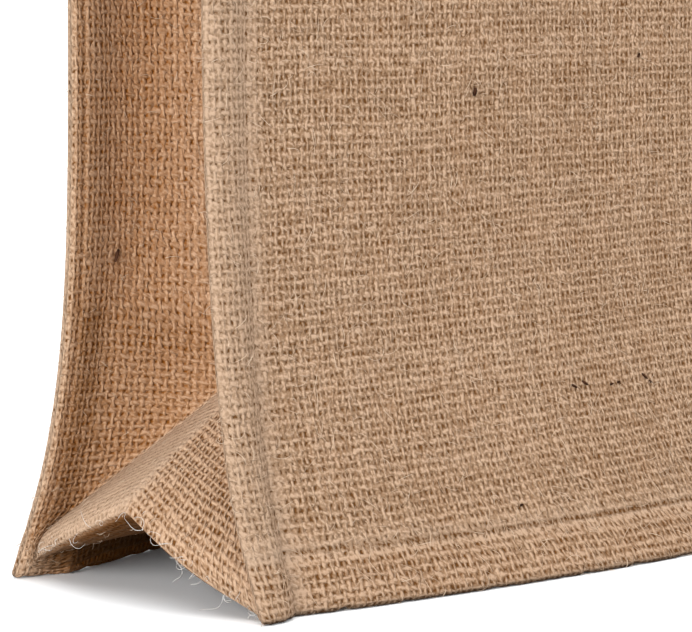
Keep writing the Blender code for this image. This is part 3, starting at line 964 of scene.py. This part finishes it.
def loose_fibres(roots, outward, count, luck, length, curl, points=14):
    """Paths of curly fibres that stick out of an edge, free at their ends."""
    place = luck.uniform(0.0, len(roots) - 1.001, count)
    low = place.astype(int)
    share = (place - low)[:, None]
    start = roots[low] * (1.0 - share) + roots[low + 1] * share
    heading = np.asarray(outward, dtype=float) + luck.normal(0.0, 0.55, (count, 3))
    heading /= np.linalg.norm(heading, axis=1, keepdims=True)
    turn = luck.normal(0.0, 1.0, (count, 3))
    long = luck.uniform(length[0], length[1], (count, 1))
    path = [start - 0.0008 * heading]
    for _ in range(points - 1):
        path.append(path[-1] + heading * long / (points - 1))
        turn = 0.85 * turn + luck.normal(0.0, 0.5, (count, 3))
        heading = heading + curl * np.cross(turn, heading)
        heading /= np.linalg.norm(heading, axis=1, keepdims=True)
    path = np.stack(path, axis=1)
    path[..., 2] = np.maximum(path[..., 2], FLOOR_CLEAR)
    return path


def handle_seam(face):
    """Needle holes in a rectangle on each sewn end of the handle."""
    facing = FACES[face]["side"]
    low = HANDLE_SEAM_INSET
    high = BAG_HEIGHT + ROUND_START - HANDLE_FOOT
    wide = HANDLE_WIDTH - HANDLE_SEAM_INSET
    corners = ((-wide, low), (wide, low), (wide, high), (-wide, high), (-wide, low))
    runs = []
    for end in (0.0, handle_length()):
        holes = []
        for start, stop in zip(corners, corners[1:]):
            count = round(dist(start, stop) / HANDLE_STITCH)
            for step in range(count):
                across, up = mix_points(start, stop, step / count)
                (x, z), (_, along_z) = handle_path(abs(end - up))
                x += across * along_z
                half = bare_face(HALF_WIDTH - abs(x), z, face) + SEAM_GAP + 2 * HANDLE_FLAT
                holes.append(((x, facing * half, z), (0.0, facing, 0.0)))
        runs.append(holes + holes[:1])
    return runs


def make_stitches(name, runs):
    """Sewing thread: a short arched strand from each needle hole to the next."""
    share = np.linspace(0.0, 1.0, 7)
    paths = []
    for holes in runs:
        for (low, low_out), (high, high_out) in zip(holes, holes[1:]):
            low, high = np.array(low), np.array(high)
            out = np.array(low_out) + np.array(high_out)
            out = out / np.linalg.norm(out)
            along = low + (high - low) * (0.07 + 0.86 * share[:, None])
            arch = THREAD_RISE * (1.0 - (2.0 * share - 1.0) ** 4) - THREAD_SINK
            paths.append(along + arch[:, None] * out)
    return strand_mesh(name, paths, THREAD_RADIUS, THREAD_TAPER)


def make_flecks(name, face):
    """Short bits of dark bark, spun into the panel's yarns."""
    paths = []
    for across, height, length, angle, _ in FLECKS:
        path = []
        for share in (-0.5, -0.2, 0.2, 0.5):
            x = across + share * length * cos(radians(angle)) - HALF_WIDTH
            z = height + share * length * sin(radians(angle))
            place, out = face_place(copysign(1.0, x), HALF_WIDTH - abs(x), z, face)
            path.append([a + b * FLECK_LIFT for a, b in zip(place, out)])
        paths.append(path)
    return strand_mesh(name, paths, np.array([fleck[-1] for fleck in FLECKS]), FLECK_TAPER)


def make_strip_fleck(name, cloth):
    """The strip's own bit of bark, at a slant across its yarns."""
    steps = np.array(STRIP_FLECK_STEPS)
    across, along = (start + slant * steps for start, slant in zip(STRIP_FLECK, STRIP_FLECK_SLANT))
    path = cloth.place(across, along, np.full(len(steps), STRIP_FLECK_LIFT))
    return strand_mesh(name, path[None], STRIP_FLECK_RADIUS, FLECK_TAPER)


# -------------------- materials

def set_inputs(tree, node, inputs):
    """Link a node's inputs to fields, or set them to numbers or colours."""
    for slot, value in inputs.items():
        if isinstance(value, Field):
            tree.links.new(value.source, node.inputs[slot])
        else:
            node.inputs[slot].default_value = (*value, 1.0) if isinstance(value, tuple) else value


def add_node(tree, kind, inputs, output=0, **settings):
    """One output of a new shader node, as a field."""
    node = tree.nodes.new("ShaderNode" + kind)
    for setting, value in settings.items():
        setattr(node, setting, value)
    set_inputs(tree, node, inputs)
    return Field(tree, node.outputs[output])


class Field:
    """A node's output that can be reckoned with like a number."""

    def __init__(self, tree, source):
        self.tree = tree
        self.source = source

    def math(self, operation, *others):
        return add_node(self.tree, "Math", dict(enumerate((self, *others))), operation=operation)

    def __add__(self, other):
        return self.math("ADD", other)

    def __sub__(self, other):
        return self.math("SUBTRACT", other)

    def __mul__(self, other):
        return self.math("MULTIPLY", other)

    def floor(self):
        return self.math("FLOOR")

    def cos(self):
        return self.math("COSINE")

    def size(self):
        return self.math("ABSOLUTE")

    def larger(self, other):
        return self.math("MAXIMUM", other)

    def step(self, low, high):
        """0 at low, 1 at high, smooth between; low may be the larger one."""
        return add_node(self.tree, "MapRange", {"Value": self, "From Min": low, "From Max": high},
                        interpolation_type="SMOOTHSTEP")


def noise(tree, x, y, stretch, offset, detail=1.0):
    """Smooth noise about 0, from about -1 to 1, at a yarn place."""
    place = add_node(tree, "CombineXYZ", {0: x * stretch[0] + offset, 1: y * stretch[1] + offset})
    value = add_node(tree, "TexNoise", {"Scale": 1.0, "Detail": detail, "Vector": place},
                     noise_dimensions="2D")
    return (value - 0.5) * 2.4


def chance(tree, index, offset):
    """A fixed random number from 0 to 1 for each whole number."""
    return add_node(tree, "TexWhiteNoise", {"W": index + offset}, noise_dimensions="1D")


def chance_at(tree, index, other, offset):
    """A fixed random number from 0 to 1 for each pair of whole numbers."""
    place = add_node(tree, "CombineXYZ", {0: index + offset, 1: other})
    return add_node(tree, "TexWhiteNoise", {"Vector": place}, noise_dimensions="2D")


def blend_colours(tree, share, low, high, beyond=False):
    """A colour between two colours, or past them where that is allowed."""
    # A Mix node's colour inputs are its slots 6 and 7, and its colour output is slot 2.
    return add_node(tree, "Mix", {0: share, 6: low, 7: high}, output=2,
                    data_type="RGBA", clamp_factor=not beyond)


def uv_fields(tree, layer):
    """The two numbers of a UV layer."""
    uv = add_node(tree, "UVMap", {}, uv_map=layer)
    return [add_node(tree, "SeparateXYZ", {0: uv}, output=part) for part in (0, 1)]


def tone_fields(tree):
    """Fuzz, warmth, openness and brightness of the cloth at each point; warmth and brightness also
    carry painted shade and light.
    """
    tone = add_node(tree, "VertexColor", {}, layer_name="tone")
    brightness = add_node(tree, "VertexColor", {}, output="Alpha", layer_name="tone")
    parts = [add_node(tree, "SeparateColor", {0: tone}, output=part) for part in (0, 1, 2)]
    return [*parts, brightness]


def needle_holes(tree, across, stitches, within, seed):
    """1 in the holes that the needle left along a seam: across in millimetres, along in stitches."""
    index = (stitches + 0.5).floor()
    luck = chance(tree, index, seed + 0.71)
    along = (stitches - index + luck * 0.14 - 0.07) * (1000 * STITCH / 0.62)
    off = (across + luck * 0.5 - 0.25) * (1.0 / 0.50)
    return (along * along + off * off).step(1.25, 0.45) * (luck * 0.5 + 0.5) * within


def seam_fields(tree, u, v, seed):
    """Needle holes of the side and foot seams, and the foot seam's smooth ridge and its crease."""
    from_side, from_foot = uv_fields(tree, "seam")
    holes = needle_holes(tree, from_side, v * (ROW_PITCH / STITCH), from_foot.step(-1.0, 0.0), seed)
    foot_holes = needle_holes(tree, from_foot, u * (COLUMN_PITCH / STITCH),
                              from_side.step(-1.0, 0.0), seed + 0.5)
    in_body = from_side.step(-0.5, 0.8)
    ridge = from_foot.step(-1.5, -0.7) * from_foot.step(0.8, 0.1) * in_body
    crease = from_foot.step(0.4, 1.1) * from_foot.step(2.2, 1.3) * in_body
    return holes.larger(foot_holes), ridge, crease


class Weave:
    """Uneven yarns over and under each other: columns up the cloth and rows across it."""

    def __init__(self, tree, u, v, fuzz, openness, seed):
        # Yarns wander and are spaced unevenly.
        p = u + noise(tree, u, v, (0.11, 0.05), seed) * 0.30
        p = p + noise(tree, u, v, (0.60, 0.45), seed + 7.0) * 0.24
        r = v + noise(tree, u, v, (0.045, 0.13), seed + 13.0) * 0.24
        r = r + noise(tree, u, v, (0.40, 0.70), seed + 23.0) * 0.18
        column = p.floor()
        row = r.floor()
        off_column = (p - column - 0.5) * 2.0
        off_row = (r - row - 0.5) * 2.0

        # Each yarn is thicker here and thinner there.
        column_luck = chance(tree, column, seed)
        row_luck = chance(tree, row, seed + 0.37)
        column_thick = noise(tree, column, r, (3.7, 0.55), seed + 31.0) * 0.22
        column_thick = column_thick + column_luck * 0.16 + 0.57 + fuzz * 0.20 - openness * 0.10
        row_thick = noise(tree, p, row, (0.45, 3.7), seed + 41.0) * 0.20
        row_thick = row_thick + row_luck * 0.16 + 0.50 + fuzz * 0.22 - openness * 0.08

        # Round profiles, and the wave over and under the crossing yarns.
        across_column = off_column.math("DIVIDE", column_thick)
        across_row = off_row.math("DIVIDE", row_thick)
        column_wave = ((column + r - 0.5) * pi).cos()
        row_wave = ((row + p - 0.5) * pi).cos()
        column_height = across_column * across_column * -0.5 + column_wave * 0.20 + 0.46
        row_height = across_row * across_row * -0.5 - row_wave * 0.20 + 0.50
        on_top = (row_height - column_height).step(-0.06, 0.06)
        self.height = column_height.larger(row_height)

        # Fibres that run along each yarn with its twist, and the twist itself.
        column_fibres = noise(tree, p + r * 0.35, r, (2.1, 0.7), seed + 3.0)
        row_fibres = noise(tree, p, r + p * 0.35, (0.6, 2.5), seed + 5.0)
        self.fibres = column_fibres + (row_fibres - column_fibres) * on_top
        turn = ((r * 1.3 + off_column * 0.45 + column_luck) * tau).cos()
        row_turn = ((p * 1.1 + off_row * 0.45 + row_luck) * tau).cos()
        self.twist = turn + (row_turn - turn) * on_top

        # How deep a point lies between four yarns, and the luck of that gap and of each yarn.
        self.gap = off_column.size() * off_row.size()
        self.gap_luck = chance_at(tree, (p + 0.5).floor(), (r + 0.5).floor(), seed) - 0.5
        column_tone = noise(tree, column, v, (5.1, 0.09), seed + 51.0) * 0.5 + column_luck - 0.5
        row_tone = noise(tree, u, row, (0.08, 5.1), seed + 61.0) * 0.5 + row_luck - 0.5
        self.yarn_tone = column_tone + (row_tone - column_tone) * on_top


def jute_colour(tree, u, v, lit, tones, seed):
    """Brown gaps and paler yarns, made warmer, duller and darker by the cloth's tones, whose warmth and
    brightness paint shade and light by place.
    """
    fuzz, warmth, _, brightness = tones
    palettes = []
    # The inside set is the darker, redder palette that the warmth tone blends in, both for random
    # variation and for painted shade.
    for side in ("outside", "inside"):
        gap_colour, tan, pale = JUTE[side]
        cloth = blend_colours(tree, lit.step(-0.80, 0.20), gap_colour, tan)
        palettes.append(blend_colours(tree, lit.step(0.10, 1.00), cloth, pale))
    warmth = warmth + noise(tree, u, v, (0.21, 0.17), seed + 81.0) * 0.14 + 0.03
    cloth = blend_colours(tree, warmth, *palettes, beyond=True)
    cloth = blend_colours(tree, fuzz * 0.55 * lit.step(-0.7, 0.1), cloth, JUTE["fuzz"])
    return add_node(tree, "VectorMath", {0: cloth, "Scale": brightness}, operation="SCALE")


def new_material(name):
    """A rough material, its node tree and its shader."""
    material = bpy.data.materials.new(name)
    material.use_nodes = True
    shader = material.node_tree.nodes["Principled BSDF"]
    shader.inputs["Roughness"].default_value = 0.9
    return material, material.node_tree, shader


def jute_material(name, seed):
    """Plain-woven jute: its relief from the yarns, its colour from their height, fibres and luck, with
    light and shade painted by yarn height and by the foot seam's crease.
    """
    material, tree, shader = new_material(name)
    u, v = uv_fields(tree, "weave")
    tones = tone_fields(tree)
    fuzz, _, openness, _ = tones
    weave = Weave(tree, u, v, fuzz, openness, seed)
    holes, ridge, crease = seam_fields(tree, u, v, seed)

    relief = weave.height.larger(-0.45) * (ridge * -0.5 + 1.0) + weave.fibres * 0.30
    relief = relief + weave.twist * 0.05 - holes * 0.6 + ridge * 0.5 - crease * 0.5
    bump = add_node(tree, "Bump", {"Strength": 1.0, "Distance": WEAVE_DEPTH, "Height": relief})

    grain = noise(tree, u, v, (2.2, 2.8), seed + 91.0)
    patches = noise(tree, u, v, (0.035, 0.03), seed + 71.0, detail=2.0)
    # Painted light and shade at the scale of the yarns: yarn tops paler, their low parts and the gaps
    # between them darker, and the foot seam's crease darker; the needle holes are dark and the ridge
    # pale.
    lit = weave.height * 0.85 + weave.gap * weave.gap_luck * 0.9 + weave.fibres * 0.72 + grain * 0.75
    lit = lit + weave.twist * 0.06 + fuzz * 0.18 - holes * 0.9 + ridge * 0.36 - crease * 0.60
    lit = lit + weave.yarn_tone * 0.16 + patches * 0.07 + (weave.height + 0.2) * openness * 0.5
    set_inputs(tree, shader, {"Base Color": jute_colour(tree, u, v, lit, tones, seed),
                              "Specular IOR Level": 0.05, "Normal": bump})
    return material


def strand_material(name, dark, pale):
    """Thread, loose fibres and bark: dark to pale in slow streaks."""
    material, tree, shader = new_material(name)
    place = add_node(tree, "TexCoord", {}, output="Object")
    streaks = add_node(tree, "TexNoise", {"Scale": 300.0, "Detail": 1.0, "Vector": place})
    colour = blend_colours(tree, streaks.step(0.3, 0.7), dark, pale)
    set_inputs(tree, shader, {"Base Color": colour, "Specular IOR Level": 0.0})
    return material


# -------------------- stage

def make_floor():
    bm = bmesh.new()
    bmesh.ops.create_grid(bm, x_segments=1, y_segments=1, size=30.0)
    mesh = bpy.data.meshes.new("floor")
    bm.to_mesh(mesh)
    bm.free()
    material, tree, shader = new_material("floor_white")
    set_inputs(tree, shader, {"Base Color": FLOOR_COLOUR})
    mesh.materials.append(material)
    add_object("floor", mesh)


def aim(thing, towards, axis):
    """Turn an object so that one of its axes points along a direction."""
    thing.rotation_mode = "QUATERNION"
    thing.rotation_quaternion = Vector(towards).to_track_quat(axis, "Y")


def make_lights():
    for name, (towards, strength, spread) in LIGHTS.items():
        light = bpy.data.lights.new(name, "SUN")
        light.energy = strength
        light.angle = radians(spread)
        aim(add_object(name, light), towards, "Z")
    world = bpy.data.worlds.new("studio")
    world.use_nodes = True
    background = world.node_tree.nodes["Background"]
    background.inputs["Color"].default_value = (1.0, 1.0, 1.0, 1.0)
    background.inputs["Strength"].default_value = SKY_STRENGTH
    bpy.context.scene.world = world
    bpy.context.scene.view_settings.view_transform = "Standard"


def make_camera():
    camera = bpy.data.cameras.new("camera")
    camera.lens = CAMERA_LENS
    camera.sensor_width = 36.0
    camera.clip_start = 0.05
    camera.clip_end = 60.0
    view = add_object("camera", camera)
    view.location = CAMERA_PLACE
    aim(view, (sin(CAMERA_TURN) * cos(CAMERA_PITCH),
               cos(CAMERA_TURN) * cos(CAMERA_PITCH),
               -sin(CAMERA_PITCH)), "-Z")
    bpy.context.scene.camera = view


# -------------------- the dressed bag

def dress(piece, material, slot_name, node=None):
    """Give a piece its material and put it on the bag's body, in place of a node if it stands for one;
    its slot name is not used.
    """
    piece.data.materials.append(material)
    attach(piece, "root")
    if node:
        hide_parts(node)


def add_handle(face):
    handle = make_handle("handle_" + face + "_cloth", face)
    dress(handle, LOOKS["jute_handles"], "jute_handles", "handle_" + face)
    face + "_panel_cloth"


def add_thread(face):
    """Topstitching of the panel and of its handle."""
    for name, runs, slot_name in ((face + "_seam_thread", seam_runs(face), "jute_" + face),
                                  (face + "_handle_thread", handle_seam(face), "jute_handles")):
        dress(make_stitches(name, runs), LOOKS["jute_thread"], slot_name)


def add_fibres(name, cloth, count, seed, slot_name):
    """Short fibres that lie all over a cloth."""
    paths = lying_fibres(cloth, count, np.random.default_rng(seed))
    radii = np.random.default_rng(seed + 10).uniform(*FIBRE_RADII, count)
    dress(strand_mesh(name, paths, radii), LOOKS["jute_fibre"], slot_name)


def add_fringe(name, edges, seed, radii_range, look, slot_name):
    """Loose fibres along edges, each one (points, outward, count, length, curl, points a fibre)."""
    luck = np.random.default_rng(seed)
    fringe = []
    for roots, outward, count, length, curl, points in edges:
        fringe.append(loose_fibres(roots, outward, count, luck, length, curl, points))
    fringe = np.concatenate(fringe)
    radii = luck.uniform(*radii_range, len(fringe))
    dress(strand_mesh(name, fringe, radii), LOOKS[look], slot_name)


def add_edge_fibres(face, grid, seed):
    """Short fibres round the panel's rim: both sides, the foot and the mouth."""
    facing = FACES[face]["side"]
    rim = ((grid[3:-3, 0], (-1.0, facing * 0.3, 0.0)), (grid[3:-3, -1], (1.0, facing * 0.3, 0.0)),
           (grid[0, 3:-3], (0.0, facing, 0.1)), (grid[-1, 3:-3], (0.0, facing * 0.3, 1.0)))
    edges = [(roots, outward, EDGE_FIBRES, (0.0012, 0.0045), 0.25, 7) for roots, outward in rim]
    add_fringe(face + "_edge_fibres", edges, seed, EDGE_RADII, "jute_fibre", "jute_" + face)


def add_fold_fibres(corner, fold, seed):
    """Long fibres that hang from the strip's fold at a corner, in front and behind."""
    out = outwards(corner)
    middle = len(fold) // 2
    edges = ((fold[4:middle - 3], (out * 0.7, -0.1, -0.7), 26, (0.003, 0.012), 0.42, 14),
             (fold[middle:-4], (out * 0.6, -0.3, -0.7), 14, (0.003, 0.010), 0.35, 14))
    add_fringe(corner + "_fold_fibres", edges, seed, FOLD_RADII, "jute_white_fibre", "jute_gusset")


make_camera()
make_lights()
make_floor()

LOOKS = {name: jute_material(name, seed) for name, seed in WEAVE_SEEDS.items()}
LOOKS.update({name: strand_material(name, *colours) for name, colours in STRAND_COLOURS.items()})

front, front_grid = make_panel("front_panel_cloth", "front")
dress(front, LOOKS["jute_front"], "jute_front", "front_panel")
back, back_grid = make_panel("back_panel_cloth", "back")
dress(back, LOOKS["jute_back"], "jute_back", "back_panel")
strip, strip_grid = make_strip("gusset_cloth")
dress(strip, LOOKS["jute_gusset"], "jute_gusset", "gusset_strip")

for face, grid, seed in (("front", front_grid, 1), ("back", back_grid, 2)):
    add_handle(face)
    add_thread(face)
    outer_cloth = Cloth(grid, -FACES[face]["side"])
    add_fibres(face + "_fibres", outer_cloth, PANEL_FIBRES, seed, "jute_" + face)
    dress(make_flecks(face + "_flecks", face), LOOKS["jute_bark"], "jute_" + face)
    add_edge_fibres(face, grid, seed + 20)

fold_row = round(strip_side_length() / STRIP_STEP)
add_fold_fibres("left", strip_grid[fold_row], 31)
add_fold_fibres("right", strip_grid[-1 - fold_row], 32)

strip_cloth = Cloth(strip_grid, 1.0)
dress(make_strip_fleck("gusset_fleck", strip_cloth), LOOKS["jute_bark"], "jute_gusset")
foot_edge = [(back_grid[0, 4:70], (0.4, -0.6, 0.2), FOOT_FIBRES, (0.001, 0.004), 0.4, 7)]
add_fringe("back_foot_fibres", foot_edge, 41, FOOT_RADII, "jute_white_fibre", "jute_back")
add_fibres("gusset_fibres", strip_cloth, STRIP_FIBRES, 3, "jute_gusset")
